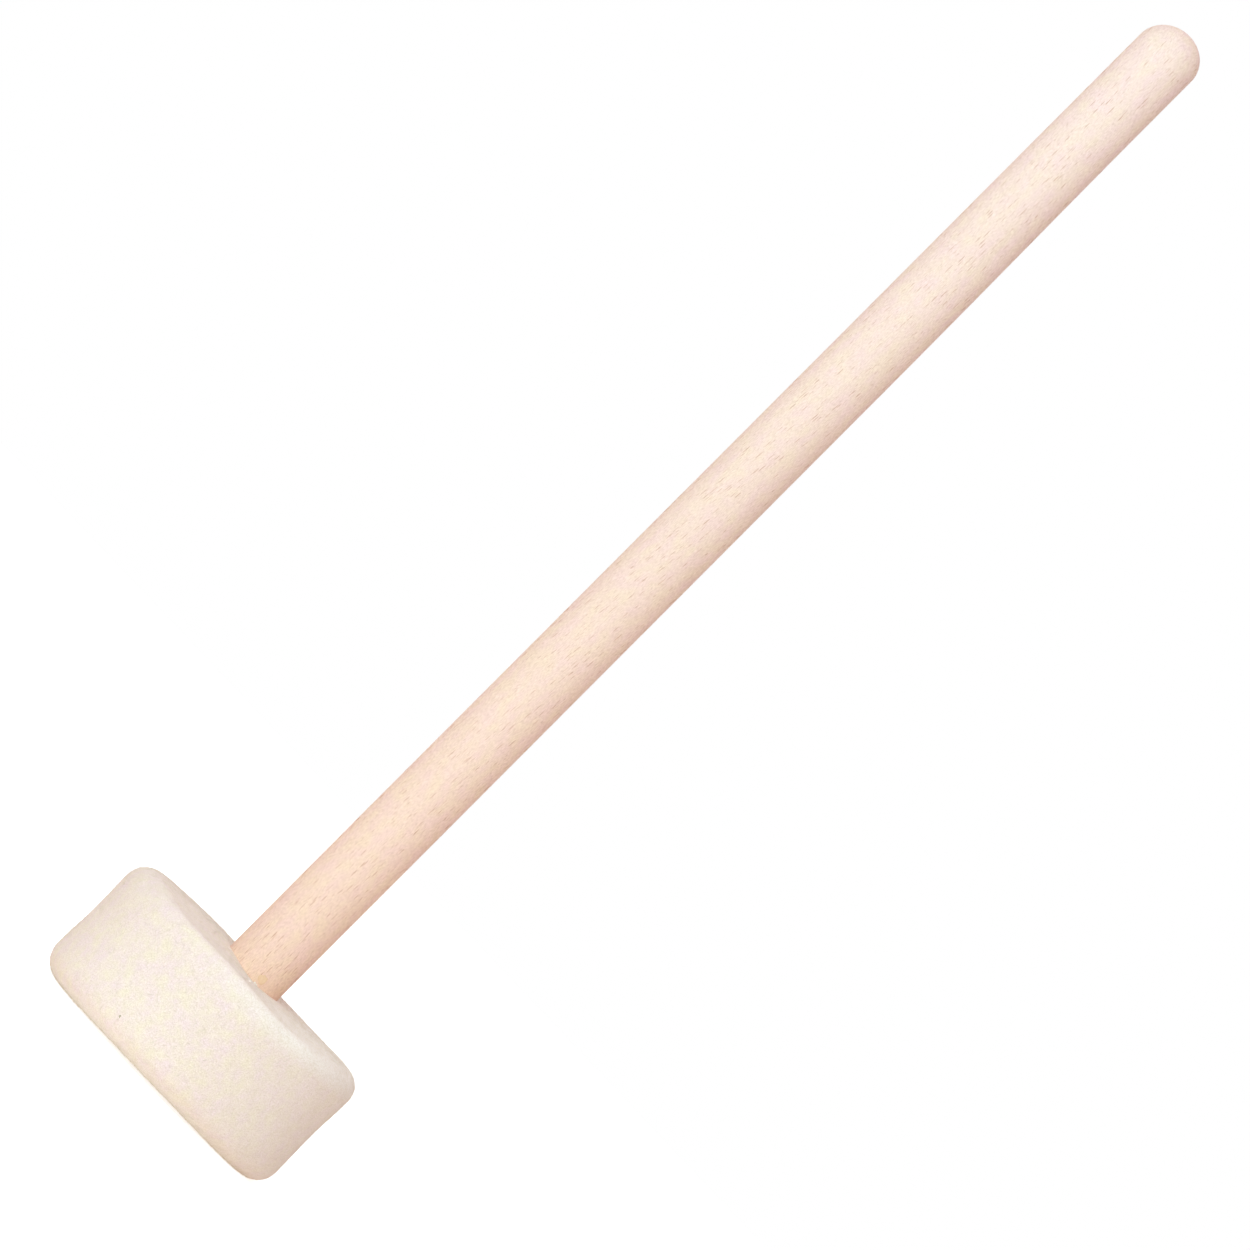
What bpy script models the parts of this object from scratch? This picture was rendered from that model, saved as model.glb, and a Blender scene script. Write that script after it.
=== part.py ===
"""A felt mallet: a thick disc of pressed wool felt glued on a straight beech handle.

The mallet stands on its head. The origin is the centre of the head's front
face, and +Z runs up the handle to its domed butt. Every length is in metres.
"""

import math

import bmesh
import bpy

# Handle: a straight dowel, sanded thinner towards its domed butt and chamfered at the tip
HANDLE_DIAMETER = 0.018
BUTT_DIAMETER = 0.0176
OVERALL_LENGTH = 0.370  # from the head's front face to the top of the butt
BUTT_DOME_LENGTH = 0.008  # a little flatter than a half ball
BUTT_STRAIGHT_LENGTH = 0.015  # of the thinner diameter, just under the dome
THINNING_LENGTH = 0.094  # over which the full diameter eases to the thinner one
TIP_CHAMFER = 0.0008
TIP_RECESS = 0.0015  # the tip stops this far inside the head's front face

# Head: a disc cut from a slab of pressed felt and bored right through
HEAD_DIAMETER = 0.0793
HEAD_THICKNESS = 0.036
FRONT_ROUNDING = 0.0067
BACK_ROUNDING = 0.0061
RIM_WAIST = 0.0003  # how far the rim draws in halfway between the faces
BORE_EASING = 0.0006  # rounding of the felt where the bore meets each face

# Joint: the bore grips the handle at both ends, with a sleeve of glue between
SEAT_CLEARANCE = 0.0003
GLUE_THICKNESS = 0.0003
BORE_LIP_LENGTH = 0.0042  # the dry stretch of bore at each face

# Facets of the turned surfaces
HANDLE_SIDES = 72
HEAD_SIDES = 96
GLUE_SIDES = 64
DOME_STEPS = 12
THINNING_STEPS = 8
ROUNDING_STEPS = 8
WAIST_STEPS = 8
EASING_STEPS = 3
MERGE_DISTANCE = 1e-6
SHARP_ANGLE = math.radians(35)

QUARTER_TURN = math.pi / 2


def linear(hex_colour):
    """The linear colour, with alpha, of an sRGB hex string."""
    shares = [int(hex_colour[i : i + 2], 16) / 255 for i in (0, 2, 4)]
    return [c / 12.92 if c <= 0.04045 else ((c + 0.055) / 1.055) ** 2.4 for c in shares] + [1.0]


def material(name, hex_colour, roughness):
    """A Principled material of one colour. Nothing on the mallet is metal."""
    made = bpy.data.materials.new(name)
    made.use_nodes = True
    shader = made.node_tree.nodes["Principled BSDF"]
    shader.inputs["Base Color"].default_value = linear(hex_colour)
    shader.inputs["Roughness"].default_value = roughness
    shader.inputs["Metallic"].default_value = 0.0
    made.diffuse_color = linear(hex_colour)
    return made


def arc(centre, radii, start, end, steps):
    """Points (r, z) on an ellipse's arc, with both end points."""
    angles = [start + (end - start) * i / steps for i in range(steps + 1)]
    return [
        (centre[0] + radii[0] * math.cos(a), centre[1] + radii[1] * math.sin(a))
        for a in angles
    ]


def turned(name, profile, sides, finish, closed):
    """A solid turned about Z from (r, z) points: a closed ring, or a line from axis to axis."""
    shape = bmesh.new()
    points = [shape.verts.new((r, 0, z)) for r, z in profile]
    ends = points[1:] + points[:1] if closed else points[1:]
    edges = [shape.edges.new(pair) for pair in zip(points, ends)]
    bmesh.ops.spin(
        shape,
        geom=points + edges,
        cent=(0, 0, 0),
        axis=(0, 0, 1),
        angle=math.tau,
        steps=sides,
        use_merge=True,
    )
    bmesh.ops.remove_doubles(shape, verts=shape.verts, dist=MERGE_DISTANCE)
    bmesh.ops.recalc_face_normals(shape, faces=shape.faces)
    mesh = bpy.data.meshes.new(name)
    shape.to_mesh(mesh)
    shape.free()
    mesh.shade_smooth()
    mesh.set_sharp_from_angle(angle=SHARP_ANGLE)
    mesh.materials.append(finish)
    piece = bpy.data.objects.new(name, mesh)
    bpy.context.scene.collection.objects.link(piece)
    return piece


def eased(share):
    """A share from 0 to 1 that starts and ends gently."""
    return share * share * (3 - 2 * share)


def handle_profile(length):
    """The dowel's outline from the middle of its flat tip, at z = 0, to the top of its dome."""
    radius = HANDLE_DIAMETER / 2
    butt_radius = BUTT_DIAMETER / 2
    tip = [(0, 0), (radius - TIP_CHAMFER, 0), (radius, TIP_CHAMFER)]
    dome_base = length - BUTT_DOME_LENGTH
    start = dome_base - BUTT_STRAIGHT_LENGTH - THINNING_LENGTH
    thinning = []
    for i in range(THINNING_STEPS + 1):
        share = i / THINNING_STEPS
        r = radius + (butt_radius - radius) * eased(share)
        thinning.append((r, start + THINNING_LENGTH * share))
    dome = arc((0, dome_base), (butt_radius, BUTT_DOME_LENGTH), 0, QUARTER_TURN, DOME_STEPS)
    return tip + thinning + dome[:-1] + [(0, length)]


def rim_profile():
    """The head's outside from its front face, at z = 0, round both edges to its back face."""
    radius = HEAD_DIAMETER / 2
    front_z = FRONT_ROUNDING
    back_z = HEAD_THICKNESS - BACK_ROUNDING
    front_round = (FRONT_ROUNDING, FRONT_ROUNDING)
    back_round = (BACK_ROUNDING, BACK_ROUNDING)
    front = arc((radius - FRONT_ROUNDING, front_z), front_round, -QUARTER_TURN, 0, ROUNDING_STEPS)
    back = arc((radius - BACK_ROUNDING, back_z), back_round, 0, QUARTER_TURN, ROUNDING_STEPS)
    waist = []
    for i in range(1, WAIST_STEPS):
        share = i / WAIST_STEPS
        draw = RIM_WAIST * math.sin(math.pi * share) ** 2
        waist.append((radius - draw, front_z + (back_z - front_z) * share))
    return front + waist + back


def bore_profile(lip_radius, pocket_radius):
    """The head's bore from its back face to its front face: lip, glue pocket, lip."""
    easing = (BORE_EASING, BORE_EASING)
    edge_r = lip_radius + BORE_EASING
    back_z = HEAD_THICKNESS - BORE_EASING
    back = arc((edge_r, back_z), easing, QUARTER_TURN, 2 * QUARTER_TURN, EASING_STEPS)
    front = arc((edge_r, BORE_EASING), easing, -2 * QUARTER_TURN, -QUARTER_TURN, EASING_STEPS)
    pocket = [
        (lip_radius, HEAD_THICKNESS - BORE_LIP_LENGTH),
        (pocket_radius, HEAD_THICKNESS - BORE_LIP_LENGTH),
        (pocket_radius, BORE_LIP_LENGTH),
        (lip_radius, BORE_LIP_LENGTH),
    ]
    return back + pocket + front


def sleeve_profile(inner_radius, length):
    """A thin straight tube that stands on z = 0."""
    outer_radius = inner_radius + GLUE_THICKNESS
    return [(inner_radius, 0), (outer_radius, 0), (outer_radius, length), (inner_radius, length)]


def build_mallet():
    """Makes the handle, the head and the glue between them, each in its place."""
    grip_radius = HANDLE_DIAMETER / 2 + SEAT_CLEARANCE
    pocket_radius = grip_radius + GLUE_THICKNESS + SEAT_CLEARANCE
    handle_length = OVERALL_LENGTH - TIP_RECESS
    glue_length = HEAD_THICKNESS - 2 * (BORE_LIP_LENGTH + SEAT_CLEARANCE)

    mallet = bpy.data.objects.new("mallet", None)
    bpy.context.scene.collection.objects.link(mallet)

    beech = material("sanded_beech", "EBCFB0", 0.55)
    handle = turned(
        "beech_handle", handle_profile(handle_length), HANDLE_SIDES, beech, closed=False
    )
    handle.location.z = TIP_RECESS

    felt = material("pressed_wool_felt", "F0E4D3", 0.95)
    head_outline = rim_profile() + bore_profile(grip_radius, pocket_radius)
    head = turned("felt_head", head_outline, HEAD_SIDES, felt, closed=True)

    glue = material("cured_wood_glue", "E6D8B4", 0.35)
    film = turned(
        "glue_film", sleeve_profile(grip_radius, glue_length), GLUE_SIDES, glue, closed=True
    )
    film.location.z = BORE_LIP_LENGTH + SEAT_CLEARANCE

    for piece in (handle, head, film):
        piece.parent = mallet


for old in list(bpy.data.objects):
    bpy.data.objects.remove(old)
build_mallet()
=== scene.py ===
"""The looks of a felt mallet: bare beech handle, pressed wool head and the glue between them.

Every length is in metres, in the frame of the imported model: the origin is the
centre of the head's front face and +Z runs up the handle.
"""

import logging
import math
from collections.abc import Callable
from dataclasses import dataclass
from enum import Enum
from functools import partial
from typing import Any

import bmesh
import bpy
import numpy as np
from bpy.types import Material, Mesh, Node, NodeSocket, NodeTree, Object
from mathutils import Matrix, Quaternion, Vector, noise


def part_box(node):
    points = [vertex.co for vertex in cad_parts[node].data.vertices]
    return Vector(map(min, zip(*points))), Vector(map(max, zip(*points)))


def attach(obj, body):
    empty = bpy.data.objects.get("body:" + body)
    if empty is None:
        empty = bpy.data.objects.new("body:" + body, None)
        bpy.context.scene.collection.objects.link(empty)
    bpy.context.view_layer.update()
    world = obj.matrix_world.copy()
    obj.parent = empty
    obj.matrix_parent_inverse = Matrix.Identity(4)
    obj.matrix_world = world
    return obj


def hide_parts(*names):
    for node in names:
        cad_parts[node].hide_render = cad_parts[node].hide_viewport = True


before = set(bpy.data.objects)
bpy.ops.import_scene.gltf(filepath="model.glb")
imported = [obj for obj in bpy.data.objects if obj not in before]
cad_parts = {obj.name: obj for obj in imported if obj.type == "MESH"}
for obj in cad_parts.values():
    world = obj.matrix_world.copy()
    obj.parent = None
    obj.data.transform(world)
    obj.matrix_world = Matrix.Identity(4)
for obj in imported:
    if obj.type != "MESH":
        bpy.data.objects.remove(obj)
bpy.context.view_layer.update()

LOG = logging.getLogger("mallet")
MM = 0.001
ROOT = "root"
MERGE_DISTANCE = 1e-7
SHARP_ANGLE = math.radians(35)
QUARTER_TURN = math.pi / 2
WHITE = (1.0, 1.0, 1.0, 1.0)
# Further out than any point of the mallet
CLEAR_OF_MALLET = 1.0
# A zone takes in the faces that lie just on its highest facing
FACING_MARGIN = 1e-7
# How often a small lump's facets are halved, and how many waves it has to a radius
LUMP_HALVINGS = 4
LUMP_WAVES = 1.6
# Sets the noise of one seed apart from that of the next, along each axis
SEED_STEPS = (1.0, 1.7, 2.3)

# The kinds of node that are used most
MATH = "ShaderNodeMath"
VECTOR = "ShaderNodeVectorMath"
RANGE = "ShaderNodeMapRange"
MIX = "ShaderNodeMix"
AXES = "ShaderNodeSeparateXYZ"
PLACE = "ShaderNodeTexCoord"
PRINCIPLED = "ShaderNodeBsdfPrincipled"

Pair = tuple[float, float]
Triple = tuple[float, float, float]
Colour = tuple[float, float, float, float]
# Adds a node to one tree: its kind, its inputs and its settings
Adder = Callable[..., Node]


class Slot(Enum):
    """The record's material slots."""

    BEECH = "beech"
    FELT = "felt"
    GLUE = "glue"


class Zone(Enum):
    """The stretches of felt that carry loose wool.

    Each has its lowest and highest upward facing, and its fibres to the square metre.
    """

    RIM = (-0.75, 0.75, 0.88e6)
    BACK = (0.75, 1.0, 1.3e6)
    FRONT = (-1.0, -0.75, 1.1e6)


def linear(hex_colour: str) -> Colour:
    """Turns an sRGB hex string into a linear colour.

    Args:
        hex_colour: Six hex digits, red first.

    Returns:
        The linear colour, with an alpha of 1.
    """
    shares = [int(hex_colour[i : i + 2], 16) / 255 for i in (0, 2, 4)]
    red, green, blue = (c / 12.92 if c <= 0.04045 else ((c + 0.055) / 1.055) ** 2.4 for c in shares)
    return red, green, blue, 1.0


def add_node(
    tree: NodeTree, kind: str, inputs: dict[int | str, Any] | None = None, **settings: Any
) -> Node:
    """Adds a node with its settings and links.

    Args:
        tree: The tree that gets the node.
        kind: The node's type.
        inputs: A value, an output or a node for each input, by the input's place or name.
            A node stands for its first output in use.
        settings: The node's own properties.

    Returns:
        The node.
    """
    node = tree.nodes.new(kind)
    for name, value in settings.items():
        setattr(node, name, value)
    for key, value in (inputs or {}).items():
        found = [node.inputs[key]] if isinstance(key, int) else node.inputs
        socket = next(s for s in found if isinstance(key, int) or (s.name == key and s.enabled))
        if isinstance(value, Node):
            value = next(s for s in value.outputs if s.enabled)
        if isinstance(value, NodeSocket):
            tree.links.new(value, socket)
        else:
            socket.default_value = value
    return node


def weighted_sum(add: Adder, base: float, layers: list[tuple[Any, float]]) -> Node:
    """Adds layers up, each with its own weight.

    Args:
        add: Adds a node to the material's tree.
        base: What the sum starts from.
        layers: A node or an output, and its weight.

    Returns:
        A node whose value is the sum.
    """
    total: Any = base
    for layer, weight in layers:
        total = add(MATH, {0: layer, 1: weight, 2: total}, operation="MULTIPLY_ADD")
    return total


def noise_layer(
    add: Adder, place: Any, size: Triple, turn: Triple = (0.0, 0.0, 0.0), detail: float = 2.0
) -> NodeSocket:
    """Soft noise whose grains may be stretched and turned.

    Args:
        add: Adds a node to the material's tree.
        place: Where to read it.
        size: About how large a grain is along each of its own axes, in metres.
        turn: How the grain's axes are turned.
        detail: How many finer layers it holds.

    Returns:
        An output that runs from 0 to 1 and averages a half.
    """
    turned = add("ShaderNodeMapping", {"Vector": place, "Rotation": turn}, vector_type="POINT")
    scaled = add(VECTOR, {0: turned, 1: [1 / c for c in size]}, operation="MULTIPLY")
    made = add("ShaderNodeTexNoise", {"Vector": scaled, "Scale": 1.0, "Detail": detail})
    return made.outputs["Fac"]


def deepened(add: Adder, colour: Node, tone: Node, depth: Triple) -> Node:
    """A colour that is darkened or lightened by a tone, not alike in red, green and blue.

    Args:
        add: Adds a node to the material's tree.
        colour: The node of the colour.
        tone: The node of the tone. 1 leaves the colour as it is.
        depth: How strongly red, green and blue follow the tone.

    Returns:
        The node of the new colour.
    """
    rest = [1 - share for share in depth]
    factor = add(VECTOR, {0: tone, 1: depth, 2: rest}, operation="MULTIPLY_ADD")
    return add(VECTOR, {0: colour, 1: factor}, operation="MULTIPLY")


def new_material(name: str) -> tuple[Material, Adder]:
    """Makes a material with an empty tree.

    Args:
        name: The material's name.

    Returns:
        The material, and a function that adds a node to its tree.
    """
    material = bpy.data.materials.new(name)
    material.use_nodes = True
    material.node_tree.nodes.clear()
    return material, partial(add_node, material.node_tree)


def add_object(name: str, data: bpy.types.ID) -> Object:
    """Puts a new object in the scene, at the origin.

    Args:
        name: The object's name.
        data: Its mesh, camera or lamp.

    Returns:
        The object.
    """
    made = bpy.data.objects.new(name, data)
    bpy.context.scene.collection.objects.link(made)
    return made


def quarter_turn(steps: int) -> list[Pair]:
    """The sine and cosine at equal steps of a quarter turn, its end left out."""
    angles = [QUARTER_TURN * i / steps for i in range(steps)]
    return [(math.sin(angle), math.cos(angle)) for angle in angles]


def smooth_share(value: np.ndarray, low: float, high: float) -> np.ndarray:
    """The smoothstep of each value between low and high."""
    share = np.clip((value - low) / (high - low), 0, 1)
    return share * share * (3 - 2 * share)


def noise_at(points: np.ndarray, wavelength: float, seed: float) -> np.ndarray:
    """Smooth noise, from about -1 to 1, at each point.

    Args:
        points: One point in each row, in metres.
        wavelength: About how far apart the noise's hills lie, in metres.
        seed: Shifts the noise, so that two layers differ.

    Returns:
        One number for each point.
    """
    shift = Vector([seed * step for step in SEED_STEPS])
    scaled = points / wavelength
    return np.array([noise.noise(Vector(p) + shift) for p in scaled.tolist()])


def run_tree(tree: NodeTree, name: str, sizes: dict[str, Any], source: Mesh | None) -> Mesh:
    """Runs a Geometry Nodes tree and keeps its result as a plain mesh.

    Args:
        tree: The tree.
        name: The new mesh's name.
        sizes: A value for each named input of the tree.
        source: The mesh that the tree starts from, or None where it starts from nothing.

    Returns:
        The mesh, with no modifier behind it.
    """
    start = source.copy() if source else bpy.data.meshes.new("start")
    holder = add_object("holder", start)
    modifier = holder.modifiers.new(tree.name, "NODES")
    modifier.node_group = tree
    for item in tree.interface.items_tree:
        if item.item_type == "SOCKET" and item.in_out == "INPUT" and item.name in sizes:
            modifier[item.identifier] = sizes[item.name]
    graph = bpy.context.evaluated_depsgraph_get()
    mesh = bpy.data.meshes.new_from_object(holder.evaluated_get(graph))
    bpy.data.objects.remove(holder)
    bpy.data.meshes.remove(start)
    mesh.name = name
    return mesh


def new_tree(name: str, sockets: dict[str, tuple[str, ...]]) -> tuple[NodeTree, Adder, Any]:
    """Makes a Geometry Nodes tree with a geometry output and named inputs.

    Args:
        name: The tree's name.
        sockets: The names of the inputs, by what they hold.

    Returns:
        The tree, a function that adds a node to it, and its inputs as outputs of a node.
    """
    tree = bpy.data.node_groups.new(name, "GeometryNodeTree")
    tree.is_modifier = True
    add_socket = tree.interface.new_socket
    add_socket(name="Geometry", in_out="OUTPUT", socket_type="NodeSocketGeometry")
    for kind, names in sockets.items():
        for socket_name in names:
            add_socket(name=socket_name, in_out="INPUT", socket_type=f"NodeSocket{kind}")
    add = partial(add_node, tree)
    return tree, add, add("NodeGroupInput").outputs


def end_tree(add: Adder, geometry: Node, finish: NodeSocket) -> None:
    """Ends a Geometry Nodes tree with real geometry that has its finish.

    Args:
        add: Adds a node to the tree.
        geometry: The node of the finished geometry.
        finish: The output of the material.
    """
    whole = add("GeometryNodeRealizeInstances", {"Geometry": geometry})
    dressed = add("GeometryNodeSetMaterial", {"Geometry": whole, "Material": finish})
    add("NodeGroupOutput", {"Geometry": dressed})


def place_piece(mesh: Mesh, replaced: tuple[str, ...] = ()) -> Object:
    """Puts a finished mesh in the scene and ties it to the mallet's one body.

    Args:
        mesh: The mesh, with its place in its vertices and its material set.
        replaced: The CAD nodes that the piece stands for.

    Returns:
        The new object, at the origin.
    """
    piece = add_object(mesh.name, mesh)
    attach(piece, ROOT)
    if replaced:
        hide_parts(*replaced)
    mesh.calc_loop_triangles()
    LOG.info("%s: %d triangles", piece.name, len(mesh.loop_triangles))
    return piece


def blob_mesh(
    name: str, centre: Vector, radii: Triple, turn: Quaternion, roughness: float, seed: float
) -> Mesh:
    """A small closed lump with an uneven surface.

    Args:
        name: The mesh's name.
        centre: Its middle.
        radii: Its half sizes before it is turned.
        turn: How it is turned.
        roughness: How far the surface moves in and out, as a share of the radius.
        seed: Shifts the unevenness.

    Returns:
        The mesh.
    """
    shape = bmesh.new()
    bmesh.ops.create_icosphere(shape, subdivisions=LUMP_HALVINGS, radius=1.0)
    for vertex in shape.verts:
        wave = noise.noise(vertex.co * LUMP_WAVES + Vector((seed, seed, seed)))
        point = vertex.co * (1 + roughness * wave)
        vertex.co = centre + turn @ Vector(a * b for a, b in zip(point, Vector(radii)))
    mesh = bpy.data.meshes.new(name)
    shape.to_mesh(mesh)
    shape.free()
    mesh.shade_smooth()
    return mesh


def facing_turn(outward: Vector) -> Quaternion:
    """A turn that points a shape's Z outward and keeps its Y as near to upright as it can."""
    side = Vector((0, 0, 1)).cross(outward).normalized()
    return Matrix((side, outward.cross(side), outward)).transposed().to_quaternion()


@dataclass(frozen=True)
class SandedBeech:
    """Beech, turned, sanded fine and left bare.

    It is a dull, pinkish wood. Its rays show as thin darker dashes that follow
    the grain, and it grows paler towards the butt.
    """

    # The foot next to the head is warmer and deeper: partly the wood's own tone, partly painted shade where
    # the handle leaves the felt
    foot: str = "F4D3C0"
    foot_and_shade_length: float = 9 * MM
    near_head: str = "F4D4C5"
    middle: str = "F0D6CC"
    near_butt: str = "F1D9D3"
    pink: str = "FFF9FB"
    yellow: str = "FFFEF4"
    patch: Triple = (3 * MM, 3 * MM, 5 * MM)
    # The stretch of the patches' noise in which pink turns to yellow
    patch_run: Pair = (0.3, 0.7)
    ray_cell: Triple = (0.62 * MM, 9.0 * MM, 2.5 * MM)
    ray_half: Triple = (0.13 * MM, 6.0 * MM, 1.5 * MM)
    ray_shade: float = 0.34
    dash: str = "FFF1E8"
    # Real pores are 0.05 mm wide. These are three times that, so that they show.
    pore_cell: Triple = (0.55 * MM, 2.0 * MM, 1.3 * MM)
    pore_half: Triple = (0.08 * MM, 1.2 * MM, 0.5 * MM)
    pore_shade: float = 0.24
    # Rays and pores differ in size, fade in from their edge, and are mostly faint:
    # a higher power leaves fewer of them strong
    spindle_sizes: Pair = (0.6, 1.4)
    spindle_edge: Pair = (1.0, 0.3)
    rarity: float = 3.0
    # Real fibres are 0.02 mm thick. These are ten times that, so that they show.
    fibre: Triple = (0.2 * MM, 0.8 * MM, 0.8 * MM)
    fibre_shade: float = 0.5
    streak: Triple = (1.8 * MM, 5.0 * MM, 40 * MM)
    streak_shade: float = 0.02
    ring_spacing: float = 2.6 * MM
    ring_shade: float = 0.004
    # How much the rings narrow along the grain, as a tapering trunk's do
    ring_taper: float = 0.02
    pith: Pair = (22 * MM, 95 * MM)
    drift: float = 14.9 * MM
    drift_heights: Pair = (57 * MM, 298 * MM)
    clear_tone: float = 0.78
    # How strongly red, green and blue follow the tone: the deeper places are the browner ones
    depth: Triple = (0.75, 1.0, 1.15)
    relief: float = 0.02 * MM
    ray_relief: float = 0.6
    fibre_relief: float = -0.4
    relief_strength: float = 0.6
    clear_roughness: float = 0.58
    ray_roughness: float = 0.7
    specular: float = 0.12

    def spindles(self, add: Adder, grain: Node, cell: Triple, half: Triple) -> Node:
        """Spindles scattered through the wood, one to a cell, each of its own strength.

        Args:
            add: Adds a node to the material's tree.
            grain: The node that gives the place in the wood.
            cell: How far apart the spindles lie across, through and along the grain.
            half: Their half sizes in the same directions.

        Returns:
            A node whose value is 0 in clear wood and up to 1 inside a spindle.
        """
        scaled = add(VECTOR, {0: grain, 1: [1 / c for c in cell]}, operation="MULTIPLY")
        cells = add("ShaderNodeTexVoronoi", {"Vector": scaled, "Scale": 1.0})
        offset = add(VECTOR, {0: scaled, 1: cells.outputs["Position"]}, operation="SUBTRACT")
        ratio = [c / h for c, h in zip(cell, half)]
        narrow = add(VECTOR, {0: offset, 1: ratio}, operation="MULTIPLY")
        reach = add(VECTOR, {0: narrow}, operation="LENGTH")
        chance = add("ShaderNodeSeparateColor", {"Color": cells.outputs["Color"]})
        small, large = self.spindle_sizes
        size = add(RANGE, {"Value": chance.outputs["Red"], "To Min": small, "To Max": large})
        share = add(MATH, {0: reach.outputs["Value"], 1: size}, operation="DIVIDE")
        edge, core = self.spindle_edge
        inside = add(
            RANGE, {"Value": share, "From Min": edge, "From Max": core}, interpolation_type="SMOOTHSTEP"
        )
        strength = add(MATH, {0: chance.outputs["Green"], 1: self.rarity}, operation="POWER")
        return add(MATH, {0: inside, 1: strength}, operation="MULTIPLY")

    def wood_place(self, add: Adder) -> tuple[Node, NodeSocket]:
        """The place in the wood, whose grain drifts sideways along the middle of the handle.

        Args:
            add: Adds a node to the material's tree.

        Returns:
            The node of the place in the wood, and the output of the height.
        """
        place = add(PLACE).outputs["Object"]
        axes = add(AXES, {"Vector": place})
        height = axes.outputs["Z"]
        low, high = self.drift_heights
        shift = add(
            RANGE,
            {"Value": height, "From Min": low, "From Max": high, "To Max": self.drift},
            interpolation_type="SMOOTHSTEP",
        )
        across = add(MATH, {0: axes.outputs["X"], 1: shift}, operation="SUBTRACT")
        grain = add("ShaderNodeCombineXYZ", {"X": across, "Y": axes.outputs["Y"], "Z": height})
        return grain, height

    def rings(self, add: Adder, grain: Node) -> Node:
        """Faint growth rings round a pith that lies outside the dowel.

        Args:
            add: Adds a node to the material's tree.
            grain: The node that gives the place in the wood.

        Returns:
            A node whose value runs from -1 to 1 across each ring.
        """
        centred = add(VECTOR, {0: grain, 1: (*self.pith, 0.0)}, operation="SUBTRACT")
        flat = add(VECTOR, {0: centred, 1: (1.0, 1.0, self.ring_taper)}, operation="MULTIPLY")
        radius = add(VECTOR, {0: flat}, operation="LENGTH")
        angle = add(
            MATH, {0: radius.outputs["Value"], 1: math.tau / self.ring_spacing}, operation="MULTIPLY"
        )
        return add(MATH, {0: angle}, operation="SINE")

    def ground(self, add: Adder, height: NodeSocket, head_top: float, butt_top: float) -> Node:
        """The clear wood's colour, which changes slowly from the head to the butt, from a foot that is
        partly painted shade.

        Args:
            add: Adds a node to the material's tree.
            height: The output of the height.
            head_top: The height at which the handle leaves the head.
            butt_top: The height of the butt.

        Returns:
            The node of the colour.
        """
        half_way = (head_top + butt_top) / 2
        foot_and_shade_end = head_top + self.foot_and_shade_length
        # Starts from the foot's colour, which is partly painted shade next to the felt
        colour: Any = linear(self.foot)
        for low, high, tone in (
            (head_top, foot_and_shade_end, self.near_head),
            (foot_and_shade_end, half_way, self.middle),
            (half_way, butt_top, self.near_butt),
        ):
            share = add(RANGE, {"Value": height, "From Min": low, "From Max": high})
            colour = add(MIX, {"Factor": share, "A": colour, "B": linear(tone)}, data_type="RGBA")
        return colour

    def build(self, head_top: float, butt_top: float) -> Material:
        """Makes the material.

        Args:
            head_top: The height at which the handle leaves the head.
            butt_top: The height of the butt.

        Returns:
            The material.
        """
        material, add = new_material("beech_turned_sanded_and_bare")
        grain, height = self.wood_place(add)
        rays = self.spindles(add, grain, self.ray_cell, self.ray_half)
        pores = self.spindles(add, grain, self.pore_cell, self.pore_half)
        fibres = noise_layer(add, grain, self.fibre, detail=1.0)
        shades = [
            (fibres, self.fibre_shade),
            (noise_layer(add, grain, self.streak), self.streak_shade),
            (self.rings(add, grain), self.ring_shade),
            (pores, -self.pore_shade),
            (rays, -self.ray_shade),
        ]
        tone = weighted_sum(add, self.clear_tone, shades)
        patches = noise_layer(add, grain, self.patch, detail=1.0)
        low, high = self.patch_run
        hue = add(RANGE, {"Value": patches, "From Min": low, "From Max": high})
        tint = add(MIX, {"Factor": hue, "A": linear(self.pink), "B": linear(self.yellow)}, data_type="RGBA")
        dashed = add(MIX, {"Factor": rays, "A": tint, "B": linear(self.dash)}, data_type="RGBA")
        ground = self.ground(add, height, head_top, butt_top)
        browned = add(VECTOR, {0: ground, 1: dashed}, operation="MULTIPLY")
        hollows = [(pores, 1.0), (rays, self.ray_relief), (fibres, self.fibre_relief)]
        bump = add(
            "ShaderNodeBump",
            {
                "Height": weighted_sum(add, 0.0, hollows),
                "Distance": self.relief,
                "Strength": self.relief_strength,
            },
            invert=True,
        )
        roughness = {"To Min": self.clear_roughness, "To Max": self.ray_roughness}
        shader = add(
            PRINCIPLED,
            {
                "Base Color": deepened(add, browned, tone, self.depth),
                "Roughness": add(RANGE, {"Value": rays, **roughness}),
                "Specular IOR Level": self.specular,
                "Normal": bump,
            },
        )
        add("ShaderNodeOutputMaterial", {"Surface": shader})
        return material


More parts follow.
